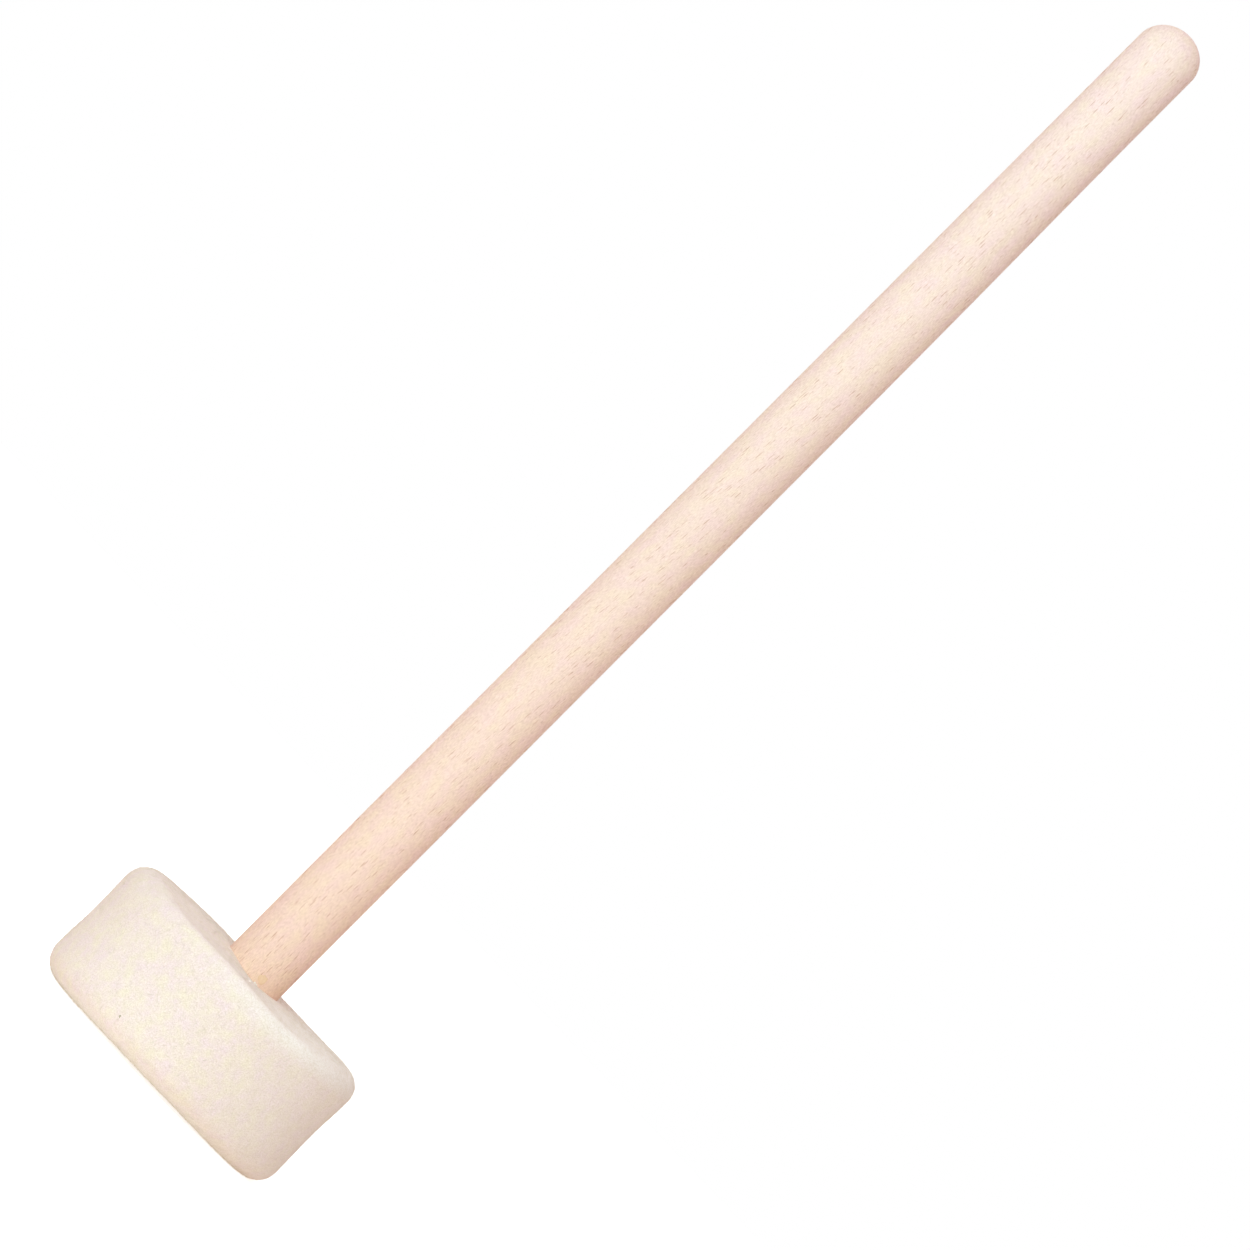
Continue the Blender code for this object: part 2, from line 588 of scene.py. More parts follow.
@dataclass(frozen=True)
class PressedWoolFelt:
    """Wool, carded, wetted and pressed hard into a thick slab.

    The eye sees a matt cream surface with a soft cloudy tone, a fine mat of
    fibres that lie every way and, here and there, a speck of plant in the wool.
    Painted light makes it paler along the right of its back edge, on its back and front faces and at its
    right end.
    """

    pink: str = "F4DFDE"
    yellow: str = "F4E5D3"
    patch: float = 3.6 * MM
    patch_turn: Triple = (1.0, 0.4, 2.0)
    # The stretch of the patches' noise in which pink turns to yellow
    patch_run: Pair = (0.3, 0.7)
    # Painted light: the paler colour that stands in for light on the right back edge, the faces and the
    # right end
    pale: str = "FBF2EC"
    painted_light_across: Pair = (-15 * MM, 22 * MM)
    painted_light_height: Pair = (27 * MM, 34 * MM)
    # How squarely a face looks up or down where its painted light comes in
    painted_light_facing: Pair = (0.6, 0.98)
    painted_light_on_back: float = 0.35
    painted_light_on_front: float = 0.8
    # Where the painted light comes in towards the right end, and how strongly
    right_run: Pair = (12 * MM, 32 * MM)
    painted_light_on_right: float = 0.4
    clear_tone: float = 0.625
    # How strongly red, green and blue follow the tone: the deeper places are the warmer ones
    depth: Triple = (0.95, 1.2, 1.5)
    cloud: float = 6 * MM
    cloud_shade: float = 0.02
    tuft: float = 1.5 * MM
    tuft_shade: float = 0.04
    # Wool fibres are 0.03 mm thick. The mat is drawn at eight times that, so that it shows.
    mat: Triple = (0.24 * MM, 0.24 * MM, 1.0 * MM)
    mat_shade: float = 0.34
    mat_turns: tuple[Triple, ...] = (
        (0.0, 0.8, 0.3), (0.3, -0.9, 0.0), (1.3, 0.2, 0.9), (0.9, 0.1, -0.8)
    )
    grain: float = 0.32 * MM
    grain_shade: float = 0.35
    grain_relief: float = 0.6
    relief: float = 0.04 * MM
    speck: str = "B7A48C"
    speck_spacing: float = 9 * MM
    speck_size: float = 0.16 * MM
    # Where a speck starts and where it is full, as shares of its size
    speck_edge: Pair = (1.6, 0.6)
    speck_strength: float = 0.5

    def painted_light(self, add: Adder, place: NodeSocket) -> Node:
        """Painted light: how much paler the felt is drawn along its right back edge, at its faces and at
        its right end.

        Args:
            add: Adds a node to the material's tree.
            place: The output of the place in the felt.

        Returns:
            A node whose value runs from 0 to 1.
        """
        axes = add(AXES, {"Vector": place}).outputs
        share: Any = 1.0
        for axis, (low, high) in (("X", self.painted_light_across), ("Z", self.painted_light_height)):
            share = add(
                RANGE,
                {"Value": axes[axis], "From Min": low, "From Max": high, "To Max": share},
                interpolation_type="SMOOTHSTEP",
            )
        normal = add(PLACE).outputs["Normal"]
        upward = add(AXES, {"Vector": normal}).outputs["Z"]
        low, high = self.painted_light_facing
        for value, start, end, painted_light in (
            (upward, low, high, self.painted_light_on_back),
            (upward, -low, -high, self.painted_light_on_front),
            (axes["X"], *self.right_run, self.painted_light_on_right),
        ):
            paler = add(RANGE, {"Value": value, "From Min": start, "From Max": end, "To Max": painted_light})
            share = add(MATH, {0: share, 1: paler}, operation="MAXIMUM")
        return share

    def build(self) -> Material:
        """Makes the material.

        Returns:
            The material.
        """
        material, add = new_material("wool_felt_pressed_off_white")
        place = add(PLACE).outputs["Object"]
        strands = [noise_layer(add, place, self.mat, turn, detail=1.0) for turn in self.mat_turns]
        mat = weighted_sum(add, 0.0, [(strand, 1 / len(strands)) for strand in strands])
        grains = noise_layer(add, place, (self.grain,) * 3, detail=1.0)
        shades = [
            (noise_layer(add, place, (self.cloud,) * 3), self.cloud_shade),
            (noise_layer(add, place, (self.tuft,) * 3), self.tuft_shade),
            (mat, self.mat_shade),
            (grains, self.grain_shade),
        ]
        tone = weighted_sum(add, self.clear_tone, shades)
        patches = noise_layer(add, place, (self.patch,) * 3, self.patch_turn, detail=4.0)
        low, high = self.patch_run
        hue = add(RANGE, {"Value": patches, "From Min": low, "From Max": high})
        tints = {"Factor": hue, "A": linear(self.pink), "B": linear(self.yellow)}
        ground = add(MIX, tints, data_type="RGBA")
        # Painted light: the paler colour is mixed into the felt's own colour here
        painted_light_mix = {"Factor": self.painted_light(add, place), "A": ground, "B": linear(self.pale)}
        toned = deepened(add, add(MIX, painted_light_mix, data_type="RGBA"), tone, self.depth)
        cells = add("ShaderNodeTexVoronoi", {"Vector": place, "Scale": 1 / self.speck_spacing})
        start, full = (self.speck_size / self.speck_spacing * share for share in self.speck_edge)
        spot = add(
            RANGE,
            {
                "Value": cells.outputs["Distance"],
                "From Min": start,
                "From Max": full,
                "To Max": self.speck_strength,
            },
        )
        spotted = {"Factor": spot, "A": toned, "B": linear(self.speck)}
        height = weighted_sum(add, 0.0, [(mat, 1.0), (grains, self.grain_relief)])
        shader = add(
            PRINCIPLED,
            {
                "Base Color": add(MIX, spotted, data_type="RGBA"),
                "Roughness": 0.95,
                "Specular IOR Level": 0.06,
                "Sheen Weight": 0.08,
                "Sheen Roughness": 0.5,
                "Normal": add(
                    "ShaderNodeBump",
                    {"Height": height, "Distance": self.relief, "Strength": 1.0},
                ),
            },
        )
        add("ShaderNodeOutputMaterial", {"Surface": shader})
        return material


@dataclass(frozen=True)
class MottledFinish:
    """A finish that varies softly between two colours, and between two roughnesses."""

    name: str
    first: str
    second: str
    variation: float
    roughness: Pair
    specular: float = 0.5
    ior: float = 1.5

    def build(self) -> Material:
        """Makes the material.

        Returns:
            The material.
        """
        material, add = new_material(self.name)
        place = add(PLACE).outputs["Object"]
        patches = add("ShaderNodeTexNoise", {"Vector": place, "Scale": 1 / self.variation})
        colours = {"A": linear(self.first), "B": linear(self.second)}
        low, high = self.roughness
        rough: Any = low
        if high > low:
            rough = add(RANGE, {"Value": patches, "To Min": low, "To Max": high})
        shader = add(
            PRINCIPLED,
            {
                "Base Color": add(MIX, {"Factor": patches, **colours}, data_type="RGBA"),
                "Roughness": rough,
                "Specular IOR Level": self.specular,
                "IOR": self.ior,
            },
        )
        add("ShaderNodeOutputMaterial", {"Surface": shader})
        return material


# Single wool fibres that stand off the felt: pale, springy and a little shiny
WOOL_FIBRE = MottledFinish("wool_fibre_loose", "EADBCA", "F6ECE0", 3 * MM, (0.7, 0.7), 0.3)
# Bits of bleached wool lint: whiter than the felt, and a little shiny
WOOL_LINT = MottledFinish("wool_lint_bleached", "FFF0E4", "FFF6EE", 3 * MM, (0.7, 0.7), 0.3)
# White wood glue that has dried: pale amber, smooth and a little glossy
WOOD_GLUE = MottledFinish("wood_glue_cured", "F8D8BA", "EDC39A", 0.5 * MM, (0.3, 0.5), ior=1.47)
# A crumb of burr or straw that stayed in the wool: grey brown and matt
DRIED_PLANT = MottledFinish("plant_crumb_dried", "CDBFA6", "AFA088", 0.3 * MM, (0.85, 0.85))


@dataclass
class Handle:
    """The straight dowel, chamfered at the tip and sanded thinner towards its domed butt."""

    radius: float
    tip: float
    top: float
    butt_radius: float = 8.8 * MM
    # The sanding took more wood from the right, so the thin stretch lies a little to the left.
    butt_shift: float = -0.25 * MM
    dome_length: float = 8.0 * MM
    dome_shift: float = 0.25 * MM
    straight_length: float = 15 * MM
    thinning_length: float = 94 * MM
    chamfer: float = 0.8 * MM
    sides: int = 128
    rings: int = 96
    # The share of the rings that is below the dome
    body_share: float = 0.5

    def turning_tree(self) -> NodeTree:
        """A tree that turns a dowel: a body of a share of its rings, and a dome above.

        Returns:
            The tree. It starts from a cylinder one unit high and moves each ring to its
            height and radius.
        """
        tree, add, size = new_tree(
            "turned_dowel",
            {
                "Float": (
                    "Radius", "Butt Radius", "Butt Shift", "Tip", "Top", "Thinning Start",
                    "Thinning End", "Dome Length", "Dome Shift", "Chamfer",
                ),
                "Int": ("Sides", "Rings"),
                "Material": ("Finish",),
            },
        )
        blank = add(
            "GeometryNodeMeshCylinder",
            {"Vertices": size["Sides"], "Side Segments": size["Rings"], "Radius": 1.0, "Depth": 1.0},
            fill_type="NGON",
        )
        place = add("GeometryNodeInputPosition")
        axes = add(AXES, {"Vector": place}).outputs
        # The cylinder's foot is at -0.5, so the share of its height starts from there
        share = add(MATH, {0: axes["Z"], 1: 0.5}, operation="ADD")
        turn = add(
            RANGE, {"Value": share, "From Min": self.body_share, "From Max": 1.0, "To Max": QUARTER_TURN}
        )
        cosine = add(MATH, {0: turn}, operation="COSINE")
        sine = add(MATH, {0: turn}, operation="SINE")
        dome_base = add(MATH, {0: size["Top"], 1: size["Dome Length"]}, operation="SUBTRACT")
        body_foot = add(MATH, {0: size["Tip"], 1: size["Chamfer"]}, operation="ADD")
        first_ring = add(MATH, {0: 1.0, 1: size["Rings"]}, operation="DIVIDE")
        heights = {"To Min": body_foot, "To Max": dome_base}
        rings = {"From Min": first_ring, "From Max": self.body_share}
        body = add(RANGE, {"Value": share, **rings, **heights})
        raised = add(MATH, {0: sine, 1: size["Dome Length"], 2: body}, operation="MULTIPLY_ADD")
        half_ring = add(MATH, {0: first_ring, 1: 0.5}, operation="MULTIPLY")
        is_tip = add(MATH, {0: share, 1: half_ring}, operation="LESS_THAN")
        cut = add(MATH, {0: is_tip, 1: size["Chamfer"]}, operation="MULTIPLY")
        height = add(MATH, {0: raised, 1: cut}, operation="SUBTRACT")
        run = {"From Min": size["Thinning Start"], "From Max": size["Thinning End"]}
        thinned, aside = (
            add(RANGE, {"Value": raised, **run, **ends}, interpolation_type="SMOOTHSTEP")
            for ends in (
                {"To Min": size["Radius"], "To Max": size["Butt Radius"]},
                {"To Max": size["Butt Shift"]},
            )
        )
        leaned = add(MATH, {0: sine, 1: size["Dome Shift"], 2: aside}, operation="MULTIPLY_ADD")
        full = add(MATH, {0: cosine, 1: thinned}, operation="MULTIPLY")
        radius = add(MATH, {0: full, 1: cut}, operation="SUBTRACT")
        moved = add(
            "ShaderNodeCombineXYZ",
            {
                "X": add(MATH, {0: axes["X"], 1: radius, 2: leaned}, operation="MULTIPLY_ADD"),
                "Y": add(MATH, {0: axes["Y"], 1: radius}, operation="MULTIPLY"),
                "Z": height,
            },
        )
        turned = add("GeometryNodeSetPosition", {"Geometry": blank.outputs["Mesh"], "Position": moved})
        closed = add("GeometryNodeMergeByDistance", {"Geometry": turned, "Distance": MERGE_DISTANCE})
        smooth = add("GeometryNodeSetShadeSmooth", {"Geometry": closed})
        end_tree(add, smooth, size["Finish"])
        return tree

    def build(self, finish: Material) -> None:
        """Turns the dowel and puts it in place of the plain one.

        Args:
            finish: The wood.
        """
        thin_top = self.top - self.dome_length - self.straight_length
        sizes = {
            "Radius": self.radius,
            "Butt Radius": self.butt_radius,
            "Butt Shift": self.butt_shift,
            "Tip": self.tip,
            "Top": self.top,
            "Thinning Start": thin_top - self.thinning_length,
            "Thinning End": thin_top,
            "Dome Length": self.dome_length,
            "Dome Shift": self.dome_shift,
            "Chamfer": self.chamfer,
            "Sides": self.sides,
            "Rings": self.rings,
            "Finish": finish,
        }
        mesh = run_tree(self.turning_tree(), "handle_wood", sizes, None)
        mesh.set_sharp_from_angle(angle=SHARP_ANGLE)
        place_piece(mesh, ("beech_handle",))


@dataclass
class FeltHead:
    """The felt disc: its pressed body and the loose wool on it.

    The disc is cut a little out of true. Its front face leans and is a little
    hollow. Its back face rises on the left, most of all at the far side, with a dip
    where the felt was pulled in by the handle. Its near edge is pressed tighter
    than the others and sags in two places.
    """

    radius: float
    thickness: float
    handle_radius: float
    front_rounding: float = 6.7 * MM
    back_rounding: float = 6.1 * MM
    near_rounding: float = 2.6 * MM
    right_rounding: float = 5.5 * MM
    # How far round to the near side and to the right the tighter roundings come in, as the
    # sine and cosine of the way round
    near_run: Pair = (0.5, 0.9)
    right_run: Pair = (0.6, 0.95)
    rim_waist: float = 0.3 * MM
    bore_easing: float = 0.2 * MM
    bore_gap: float = 0.05 * MM
    pocket_gap: float = 0.9 * MM
    lip_length: float = 4.2 * MM
    # How much of each lip moves with its face, and how far from the handle felt is bore
    lip_give: float = 0.8
    bore_reach: float = 1 * MM
    side_shift: float = -0.39 * MM
    shift_reach: float = 11 * MM
    rim_lean: float = 0.0107
    front_lean: float = -0.0271
    front_rise: float = 0.74 * MM
    front_hollow: float = 0.91 * MM
    hollow_reach: float = 31 * MM
    back_rise: float = 0.82 * MM
    back_lean: float = 0.0032
    step_half: float = 1.16 * MM
    step_place: float = -4.4 * MM
    step_width: float = 8.8 * MM
    step_run: Pair = (-56 * MM, 4 * MM)
    # Where the near edge of the back face sags: how deep, how far to the side and how wide
    sags: tuple[Triple, ...] = ((0.7 * MM, -22 * MM, 12 * MM), (1.5 * MM, 16.5 * MM, 9.5 * MM))
    sag_run: Pair = (5 * MM, 38 * MM)
    corner_rise: float = 0.25 * MM
    corner_run: Pair = (22 * MM, 34 * MM)
    dip_depth: float = 0.77 * MM
    dip_place: Pair = (1.2 * MM, -9.8 * MM)
    dip_reach: float = 5.4 * MM
    # The low lumps all over: how high, how far apart, and the seed of each layer
    lumps: tuple[Triple, ...] = (
        (0.06 * MM, 16 * MM, 3.1), (0.03 * MM, 5 * MM, 7.9), (0.02 * MM, 1.9 * MM, 1.3)
    )
    lump_reach: float = 4 * MM
    sides: int = 480
    step: float = 0.55 * MM
    easing_steps: int = 4
    # The loose fibres: how clear of the handle they stay, how long they are, how thick
    # for their length, and the seed of each zone
    wool_gap: float = 1.6 * MM
    wool_lengths: Pair = (0.6 * MM, 1.6 * MM)
    wool_thickness: float = 0.018
    wool_seeds: tuple[int, ...] = (4, 14, 24)

    def outline(self, back_rounding: float) -> np.ndarray:
        """The closed outline that is turned, from the bore's front edge and round the outside.

        Args:
            back_rounding: The radius of the edge between the rim and the back face.

        Returns:
            Rows of radius and height, about one step apart on the outside. Every
            rounding gives as many rows.
        """
        lip = self.handle_radius + self.bore_gap
        pocket = self.handle_radius + self.pocket_gap
        outside, top = self.radius, self.thickness
        easing, front = self.bore_easing, self.front_rounding
        eased = lip + easing
        front_flat = outside - front
        back_flat = outside - back_rounding
        rim = top - front - back_rounding
        flat_steps = round((outside - self.back_rounding - eased) / self.step)
        turn_steps = round(self.back_rounding * QUARTER_TURN / self.step)
        rim_steps = round((top - front - self.back_rounding) / self.step)
        points = [(eased + (front_flat - eased) * i / flat_steps, 0.0) for i in range(flat_steps)]
        points += [(front_flat + front * s, front * (1 - c)) for s, c in quarter_turn(turn_steps)]
        for i in range(rim_steps):
            share = i / rim_steps
            draw = self.rim_waist * math.sin(math.pi * share) ** 2
            points.append((outside - draw, front + rim * share))
        points += [
            (back_flat + back_rounding * c, top - back_rounding * (1 - s))
            for s, c in quarter_turn(turn_steps)
        ]
        points += [(back_flat + (eased - back_flat) * i / flat_steps, top) for i in range(flat_steps)]
        small_turn = quarter_turn(self.easing_steps)
        points += [(eased - easing * s, top - easing * (1 - c)) for s, c in small_turn]
        points += [
            (lip, top - easing),
            (lip, top - self.lip_length / 2),
            (lip, top - self.lip_length),
            (pocket, top - self.lip_length),
            (pocket, top / 2),
            (pocket, self.lip_length),
            (lip, self.lip_length),
            (lip, self.lip_length / 2),
        ]
        points += [(lip + easing * (1 - c), easing * (1 - s)) for s, c in small_turn]
        return np.array(points)

    def settle(self, points: np.ndarray, outward: np.ndarray) -> np.ndarray:
        """Puts the turned disc out of true, as the pressed and cut felt is.

        Args:
            points: The turned disc's points.
            outward: The surface's outward direction at each.

        Returns:
            The moved points. The bore keeps its radius.
        """
        x, y, z = points.T
        from_axis = np.hypot(x, y)
        handle, top = self.handle_radius, self.thickness
        in_bore = from_axis < handle + self.bore_reach
        give = self.lip_give * self.lip_length
        wide = smooth_share(z, 0, top)
        back = np.where(in_bore, smooth_share(z, top - give, top), wide)
        front = np.where(in_bore, 1 - smooth_share(z, 0, give), 1 - wide)
        dip = (x - self.dip_place[0]) ** 2 + (y - self.dip_place[1]) ** 2
        sag = sum(
            depth * np.exp(-(((x - place) / width) ** 2) / 2) for depth, place, width in self.sags
        )
        rise = (
            self.back_rise
            + self.back_lean * x
            - self.step_half
            + self.step_half
            * (1 - np.tanh((x - self.step_place) / self.step_width))
            * smooth_share(y, *self.step_run)
            - self.dip_depth * np.exp(-dip / (2 * self.dip_reach**2))
            + self.corner_rise * smooth_share(x, *self.corner_run)
            - sag * smooth_share(-y, *self.sag_run)
        )
        hollow = self.front_hollow * (0.5 - (x / self.hollow_reach) ** 2)
        lumps = sum(height * noise_at(points, apart, seed) for height, apart, seed in self.lumps)
        free = smooth_share(from_axis, handle, handle + self.shift_reach)
        lumpy = smooth_share(from_axis, handle + self.bore_reach, handle + self.lump_reach)
        moved = points + outward * (lumps * lumpy)[:, None]
        moved[:, 0] += free * (self.side_shift + self.rim_lean * (z - top / 2))
        moved[:, 2] += back * rise + front * (self.front_rise + self.front_lean * x + hollow)
        return moved

    def body_mesh(self, finish: Material) -> Mesh:
        """Turns the outline into the felt's closed body.

        Args:
            finish: The felt.

        Returns:
            The mesh.
        """
        angles = np.arange(self.sides) * math.tau / self.sides
        cosine, sine = np.cos(angles), np.sin(angles)
        wide, close = self.back_rounding, self.near_rounding
        right = (wide - self.right_rounding) / (wide - close)
        tight = smooth_share(-sine, *self.near_run) + right * smooth_share(cosine, *self.right_run)
        lines = [self.outline(rounding) for rounding in (wide, close)]
        facings = []
        for line in lines:
            run = np.roll(line, -1, axis=0) - np.roll(line, 1, axis=0)
            length = np.hypot(run[:, 0], run[:, 1])
            facings.append(np.stack([run[:, 1], -run[:, 0]], axis=1) / length[:, None])
        count, sides = len(lines[0]), self.sides

        def spun(wider: np.ndarray, closer: np.ndarray) -> np.ndarray:
            """Turns rows of radius and height about Z.

            Args:
                wider: The rows with the wide rounding.
                closer: The rows with the tight rounding.

            Returns:
                Every row at every angle, mixed from both.
            """
            mixed = wider[:, None] + (closer - wider)[:, None] * tight[:, None]
            across, up = np.moveaxis(mixed, -1, 0)
            return np.stack([across * cosine, across * sine, up], axis=-1).reshape(-1, 3)

        points = self.settle(spun(*lines), spun(*facings))
        faces = []
        for i in range(count):
            here, there = i * sides, (i + 1) % count * sides
            for j in range(sides):
                k = (j + 1) % sides
                faces.append((here + j, here + k, there + k, there + j))
        mesh = bpy.data.meshes.new("head_felt")
        mesh.from_pydata(points.tolist(), [], faces)
        mesh.shade_smooth()
        mesh.set_sharp_from_angle(angle=SHARP_ANGLE)
        mesh.materials.append(finish)
        return mesh

    def wool_tree(self) -> NodeTree:
        """A tree that scatters short bent fibres over the felt.

        Returns:
            The tree. Each fibre is a three-sided tube one unit long, of one of four bends,
            laid along the surface in any direction and scaled to its length.
        """
        tree, add, size = new_tree(
            "loose_wool",
            {
                "Geometry": ("Geometry",),
                "Float": (
                    "Density", "Lowest Facing", "Highest Facing", "Clear Radius", "Shortest",
                    "Longest", "Thickness Share",
                ),
                "Int": ("Seed",),
                "Material": ("Finish",),
            },
        )
        place = add("GeometryNodeInputPosition")
        flat = add(VECTOR, {0: place, 1: (1.0, 1.0, 0.0)}, operation="MULTIPLY")
        from_axis = add(VECTOR, {0: flat}, operation="LENGTH").outputs["Value"]
        normal = add("GeometryNodeInputNormal")
        facing = add(AXES, {"Vector": normal}).outputs["Z"]
        density: Any = size["Density"]
        for value, limit, test in (
            (facing, "Lowest Facing", "GREATER_THAN"),
            (facing, "Highest Facing", "LESS_THAN"),
            (from_axis, "Clear Radius", "GREATER_THAN"),
        ):
            passed = add(MATH, {0: value, 1: size[limit]}, operation=test)
            density = add(MATH, {0: passed, 1: density}, operation="MULTIPLY")
        roots = add(
            "GeometryNodeDistributePointsOnFaces",
            {"Mesh": size["Geometry"], "Density": density, "Seed": size["Seed"]},
            distribute_method="RANDOM",
        )
        bends = [
            ((-0.2, 0.10, 0.04), (0.2, 0.16, 0.05), (0.5, 0.0, -0.02)),
            ((-0.2, -0.22, 0.03), (0.15, 0.26, 0.07), (0.5, 0.05, 0.03)),
            ((-0.3, 0.30, 0.05), (0.3, 0.34, 0.04), (0.42, -0.08, -0.02)),
            ((-0.1, 0.05, 0.08), (0.25, -0.12, 0.10), (0.46, -0.20, 0.08)),
        ]
        section = add(
            "GeometryNodeCurvePrimitiveCircle", {"Resolution": 3, "Radius": size["Thickness Share"]}
        ).outputs["Curve"]
        gathered = add("GeometryNodeGeometryToInstance")
        for first_handle, second_handle, end in reversed(bends):
            line = add(
                "GeometryNodeCurvePrimitiveBezierSegment",
                {
                    "Resolution": 4,
                    "Start": (-0.5, 0.0, -0.02),
                    "Start Handle": first_handle,
                    "End Handle": second_handle,
                    "End": end,
                },
            )
            tube = add(
                "GeometryNodeCurveToMesh", {"Curve": line, "Profile Curve": section, "Fill Caps": True}
            )
            tree.links.new(tube.outputs[0], gathered.inputs[0])
        spin, length, pick = (
            add(
                "FunctionNodeRandomValue",
                {
                    "Min": least,
                    "Max": most,
                    "Seed": add(MATH, {0: size["Seed"], 1: shift}, operation="ADD"),
                },
                data_type=kind,
            )
            for least, most, shift, kind in (
                (0.0, math.tau, 1.0, "FLOAT"),
                (size["Shortest"], size["Longest"], 2.0, "FLOAT"),
                (0, len(bends) - 1, 3.0, "INT"),
            )
        )
        turn = add("FunctionNodeAxisAngleToRotation", {"Axis": (0.0, 0.0, 1.0), "Angle": spin})
        laid = add(
            "FunctionNodeRotateRotation",
            {"Rotation": roots.outputs["Rotation"], "Rotate By": turn},
            rotation_space="LOCAL",
        )
        scattered = add(
            "GeometryNodeInstanceOnPoints",
            {
                "Points": roots.outputs["Points"],
                "Instance": gathered,
                "Pick Instance": True,
                "Instance Index": pick,
                "Rotation": laid,
                "Scale": length,
            },
        )
        end_tree(add, scattered, size["Finish"])
        return tree

    def build(self, felt: Material, wool: Material) -> Object:
        """Makes the body and its loose wool.

        Args:
            felt: The body's finish.
            wool: The loose fibres' finish.

        Returns:
            The body.
        """
        body = place_piece(self.body_mesh(felt), ("felt_head",))
        tree = self.wool_tree()
        shortest, longest = self.wool_lengths
        for seed, zone in zip(self.wool_seeds, Zone):
            lowest, highest, density = zone.value
            sizes = {
                "Density": density,
                "Lowest Facing": lowest,
                "Highest Facing": highest + FACING_MARGIN,
                "Clear Radius": self.handle_radius + self.wool_gap,
                "Shortest": shortest,
                "Longest": longest,
                "Thickness Share": self.wool_thickness,
                "Seed": seed,
                "Finish": wool,
            }
            mesh = run_tree(tree, f"loose_wool_{zone.name.lower()}", sizes, body.data)
            mesh.shade_smooth()
            place_piece(mesh)
        return body


@dataclass
class GlueSeam:
    """The glue in the bore, and what shows of it and of the wool at the handle's foot."""

    handle_radius: float
    face_height: float
    body: Object
    drop_across: float = 2.6 * MM
    drop_above_face: float = 1.3 * MM
    drop_half: Triple = (1.1 * MM, 1.2 * MM, 0.07 * MM)
    drop_seed: float = 5.3
    # How far each bit of lint lies to the side and in front of the axis, and its half size
    lint: tuple[Triple, ...] = (
        (0.9 * MM, 27.0 * MM, 0.28 * MM),
        (1.9 * MM, 11.0 * MM, 0.33 * MM),
        (2.5 * MM, 9.9 * MM, 0.26 * MM),
    )
    # How far up each bit's middle is above the felt, as a share of its half size
    lint_lift: float = 0.4
    first_lint_seed: float = 8.0
    unevenness: float = 0.5

    def on_handle(self, across: float, height: float) -> tuple[Vector, Quaternion]:
        """A place on the front of the handle.

        Args:
            across: How far it lies to the side, along +X.
            height: Its height.

        Returns:
            The place, and a turn that points a shape's Z out of the wood and its Y up.
        """
        depth = -math.sqrt(self.handle_radius**2 - across**2)
        outward = Vector((across, depth, 0)).normalized()
        return Vector((across, depth, height)), facing_turn(outward)

    def build(self, glue: Material, wool: Material) -> None:
        """Dresses the glue film and adds the drop and the lint at the seam.

        Args:
            glue: The glue's finish.
            wool: The lint's finish.
        """
        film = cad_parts["glue_film"]
        film.data.materials.clear()
        film.data.materials.append(glue)
        place, turn = self.on_handle(self.drop_across, self.face_height + self.drop_above_face)
        drop = blob_mesh("glue_drop", place, self.drop_half, turn, self.unevenness, self.drop_seed)
        drop.materials.append(glue)
        place_piece(drop)
        for index, (across, depth, size) in enumerate(self.lint):
            above = Vector((across, -depth, CLEAR_OF_MALLET))
            _, foot, outward, _ = self.body.ray_cast(above, Vector((0, 0, -1)))
            middle = foot + outward * size * self.lint_lift
            turn, seed = facing_turn(outward), self.first_lint_seed + index
            name = f"wool_lint_{index + 1}"
            lint = blob_mesh(name, middle, (size,) * 3, turn, self.unevenness, seed)
            lint.materials.append(wool)
            place_piece(lint)


@dataclass
class PlantCrumb:
    """The one dark crumb that shows on the rim."""

    body: Object
    across: float = -15.6 * MM
    height: float = 7.6 * MM
    half: Triple = (0.26 * MM, 0.34 * MM, 0.12 * MM)
    tilt: float = math.radians(35)
    unevenness: float = 0.45
    seed: float = 2.2

    def build(self, finish: Material) -> None:
        """Sets the crumb in the rim.

        Args:
            finish: The dried plant.
        """
        start = Vector((self.across, -CLEAR_OF_MALLET, self.height))
        _, place, outward, _ = self.body.ray_cast(start, Vector((0, 1, 0)))
        tipped = facing_turn(outward) @ Quaternion((0, 0, 1), self.tilt)
        mesh = blob_mesh("plant_crumb", place, self.half, tipped, self.unevenness, self.seed)
        mesh.materials.append(finish)
        place_piece(mesh)


@dataclass(frozen=True)
class SoftGlow:
    """One wide, soft part of the light round the mallet, brightest in its direction."""

    direction: Triple
    colour: str
    strength: float
    focus: float = 3.0

    def build(self, add: Adder, towards: NodeSocket) -> Node:
        """Adds the glow's nodes.

        Args:
            add: Adds a node to the world's tree.
            towards: The output of the direction that is looked in.

        Returns:
            The node of the glow's light.
        """
        middle = list(Vector(self.direction).normalized())
        near = add(VECTOR, {0: towards, 1: middle}, operation="DOT_PRODUCT")
        facing = add(RANGE, {"Value": near.outputs["Value"]})
        share = add(MATH, {0: facing, 1: self.focus}, operation="POWER")
        light = [c * self.strength for c in linear(self.colour)[:3]]
        return add(VECTOR, {0: light, "Scale": share}, operation="SCALE")


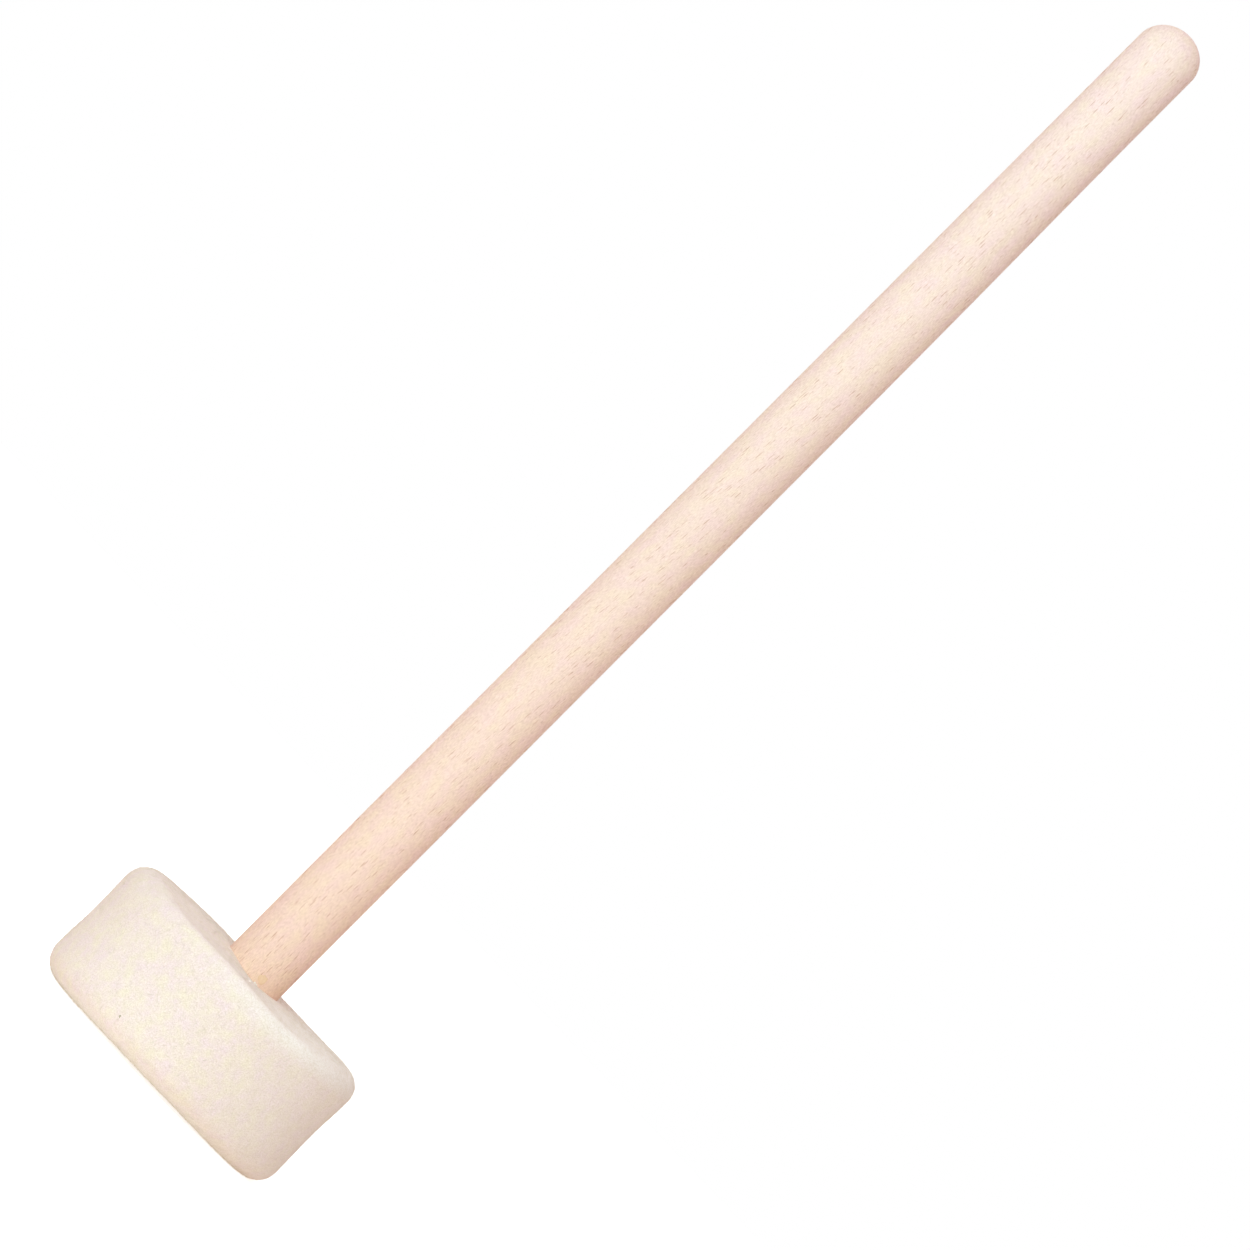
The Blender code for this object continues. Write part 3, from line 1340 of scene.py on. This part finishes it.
@dataclass
class Studio:
    """The white sweep, the soft light and the camera."""

    floor_height: float
    floor_lean: float
    floor_radius: float = 6.0
    floor_sides: int = 96
    distance: float = 1.5417
    camera_height: float = 0.1028
    aim: Triple = (4.23 * MM, 0.0, 164.0 * MM)
    lens: float = 176.89
    roll: float = math.radians(44.934)
    sensor: float = 36.0
    clip: Pair = (0.05, 50.0)
    glows: tuple[SoftGlow, ...] = (
        SoftGlow((-1.0, -0.15, 0.0), "FFF0E1", 0.609),
        SoftGlow((0.0, 0.0, 1.0), "FFF3F5", 1.24),
        SoftGlow((1.0, -1.0, 1.0), "FFA500", 0.326),
        SoftGlow((0.0, 1.0, 0.35), "FFFBFB", 0.406),
    )
    key_colour: str = "D4FAFF"
    key_power: float = 31.4
    key_size: float = 2.06
    key_direction: Triple = (-0.22, -1.0, 0.25)
    key_distance: float = 1.75
    paper: float = 0.88
    floor_colour: str = "FFEBD2"
    floor_glow: float = 0.249
    seen_glow: float = 0.4

    def point(self, thing: Object, place: Vector, look: Vector, roll: float = 0.0) -> None:
        """Sets up a camera or a lamp.

        Args:
            thing: The camera or the lamp.
            place: Where it stands.
            look: The direction that it looks or shines in.
            roll: How far it is turned about that direction.
        """
        thing.location = place
        thing.rotation_mode = "QUATERNION"
        thing.rotation_quaternion = look.to_track_quat("-Z", "Y") @ Quaternion((0, 0, 1), roll)

    def add_camera(self) -> None:
        """Adds the camera: a little above the head, looking up a little and rolled by about 45 degrees."""
        data = bpy.data.cameras.new("camera")
        data.sensor_width = self.sensor
        data.lens = self.lens
        data.clip_start, data.clip_end = self.clip
        camera = add_object("camera", data)
        aim = Vector(self.aim)
        place = Vector((aim.x, -self.distance, self.camera_height))
        self.point(camera, place, aim - place, self.roll)
        bpy.context.scene.camera = camera

    def add_key(self) -> None:
        """Adds one large soft lamp, to the left of the camera and above it."""
        data = bpy.data.lights.new("key", "AREA")
        data.shape = "DISK"
        data.size = self.key_size
        data.energy = self.key_power
        data.color = linear(self.key_colour)[:3]
        direction = Vector(self.key_direction).normalized()
        place = Vector(self.aim) + direction * self.key_distance
        self.point(add_object("key", data), place, -direction)

    def add_surround(self) -> None:
        """Lights the mallet with the soft glows, and shows white to the eye."""
        world = bpy.data.worlds.new("studio")
        world.use_nodes = True
        world.node_tree.nodes.clear()
        add = partial(add_node, world.node_tree)
        direction = add(PLACE).outputs["Generated"]
        light: Any = (0.0, 0.0, 0.0)
        for glow in self.glows:
            light = add(VECTOR, {0: glow.build(add, direction), 1: light})
        shown = add(MIX, {"Factor": self.seen_share(add), "A": light, "B": WHITE}, data_type="RGBA")
        sky = add("ShaderNodeBackground", {"Color": shown})
        add("ShaderNodeOutputWorld", {"Surface": sky})
        bpy.context.scene.world = world

    def seen_share(self, add: Adder) -> Node:
        """Tells the rays from the eye, from gloss or through glass from the others.

        Args:
            add: Adds a node to the tree.

        Returns:
            A node that is 1 for those rays and 0 for others.
        """
        path = add("ShaderNodeLightPath").outputs
        share: Any = path["Is Camera Ray"]
        for kind in ("Is Glossy Ray", "Is Transmission Ray"):
            share = add(MATH, {0: share, 1: path[kind]}, operation="MAXIMUM")
        return share

    def paper_material(self) -> Material:
        """White paper that glows a little and can't be seen from below.

        Returns:
            The material.
        """
        material, add = new_material("paper_sweep_white")
        grey = (self.paper, self.paper, self.paper, 1.0)
        paper = add("ShaderNodeBsdfDiffuse", {"Color": grey, "Roughness": 1.0})
        seen = self.seen_share(add)
        strength = weighted_sum(add, self.floor_glow, [(seen, self.seen_glow)])
        colour = add(MIX, {"Factor": seen, "A": linear(self.floor_colour), "B": WHITE}, data_type="RGBA")
        glow = add("ShaderNodeEmission", {"Color": colour, "Strength": strength})
        lit = add("ShaderNodeAddShader", {0: paper, 1: glow})
        clear = add("ShaderNodeBsdfTransparent")
        side = add("ShaderNodeNewGeometry").outputs["Backfacing"]
        one_sided = add("ShaderNodeMixShader", {0: side, 1: lit, 2: clear})
        add("ShaderNodeOutputMaterial", {"Surface": one_sided})
        return material

    def add_floor(self) -> None:
        """Adds the white floor, which leans as the head's front face does."""
        shape = bmesh.new()
        sides = self.floor_sides
        bmesh.ops.create_circle(shape, cap_ends=True, segments=sides, radius=self.floor_radius)
        mesh = bpy.data.meshes.new("floor")
        shape.to_mesh(mesh)
        shape.free()
        for vertex in mesh.vertices:
            vertex.co.z = self.floor_height + self.floor_lean * vertex.co.x
        mesh.materials.append(self.paper_material())
        add_object("floor", mesh)

    def build(self) -> None:
        """Sets up the whole studio."""
        bpy.context.scene.view_settings.view_transform = "Standard"
        self.add_camera()
        self.add_key()
        self.add_surround()
        self.add_floor()


def main() -> None:
    """Builds the mallet and the studio, and writes how large the result is."""
    logging.basicConfig(level=logging.INFO, format="%(name)s: %(message)s")
    handle_low, handle_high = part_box("beech_handle")
    head_low, head_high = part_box("felt_head")
    wool = WOOL_FIBRE.build()
    handle = Handle(radius=handle_high.x, tip=handle_low.z, top=handle_high.z)
    handle.build(SandedBeech().build(head_high.z, handle_high.z))
    head = FeltHead(radius=head_high.x, thickness=head_high.z - head_low.z, handle_radius=handle.radius)
    body = head.build(PressedWoolFelt().build(), wool)
    GlueSeam(handle.radius, head_high.z, body).build(WOOD_GLUE.build(), WOOL_LINT.build())
    PlantCrumb(body).build(DRIED_PLANT.build())
    lean = head.front_lean
    lowest = min(vertex.co.z - lean * vertex.co.x for vertex in body.data.vertices)
    Studio(floor_height=lowest, floor_lean=lean).build()


if __name__ == "__main__":
    main()
